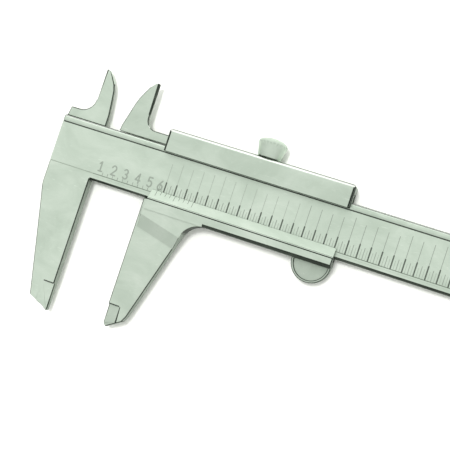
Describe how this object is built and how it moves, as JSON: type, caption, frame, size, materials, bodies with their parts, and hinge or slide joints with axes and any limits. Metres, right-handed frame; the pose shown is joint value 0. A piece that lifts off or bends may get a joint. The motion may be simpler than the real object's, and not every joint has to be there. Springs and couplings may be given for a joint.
{
  "type": "vernier caliper",
  "caption": "Vernier caliper lying on its back: stepped steel beam with fixed jaws, sliding body with movable jaws, bevelled vernier lip, domed lock screw, thumb rest and depth rod.",
  "frame": {"origin": "fixed outer measuring face, at the lower edge of the beam, on the beam's back face", "axes": "+X along the beam from the fixed jaw to the far end, +Y from the outer jaws to the inner jaws, +Z out of the front face"},
  "size_m": [0.2458, 0.0718, 0.0082],
  "materials": {
    "beam_steel": "satin ground steel",
    "slider_steel": "satin ground steel",
    "vernier_steel": "fine matt steel",
    "cover_steel": "brushed sheet steel",
    "screw_steel": "turned steel",
    "knob_steel": "fine turned, satin",
    "thumb_steel": "satin pressed steel",
    "rod_steel": "drawn steel",
    "bronze": "plain bronze",
    "spring_steel": "blue-grey spring steel"
  },
  "bodies": {
    "beam": {"beam": "beam_steel", "beam_end_stop": "cover_steel", "end_stop_screws": "screw_steel"},
    "slider": {"slider_body": "slider_steel", "vernier_plate": "vernier_steel", "vernier_plate_screws": "screw_steel", "back_cover": "cover_steel", "back_cover_screws": "screw_steel", "gib_strip": "bronze", "gib_spring": "spring_steel", "gib_screws": "screw_steel", "lock_pad": "bronze", "thumb_rest": "thumb_steel", "thumb_rest_rivets": "screw_steel", "depth_rod": "rod_steel", "depth_rod_carrier": "cover_steel", "carrier_screw": "screw_steel"},
    "lock_screw": {"lock_screw": "knob_steel"}
  },
  "joints": [
    {"name": "slider_slide", "type": "slide", "parent": "beam", "child": "slider", "axis": [1, 0, 0], "range_m": [-0.01735, 0.1323]},
    {"name": "lock_screw_turn", "type": "hinge", "parent": "slider", "child": "lock_screw", "pos_m": [0.0481, 0.0228, 0.0025], "axis": [0, -1, 0], "range_deg": [-90, 200]}
  ]
}
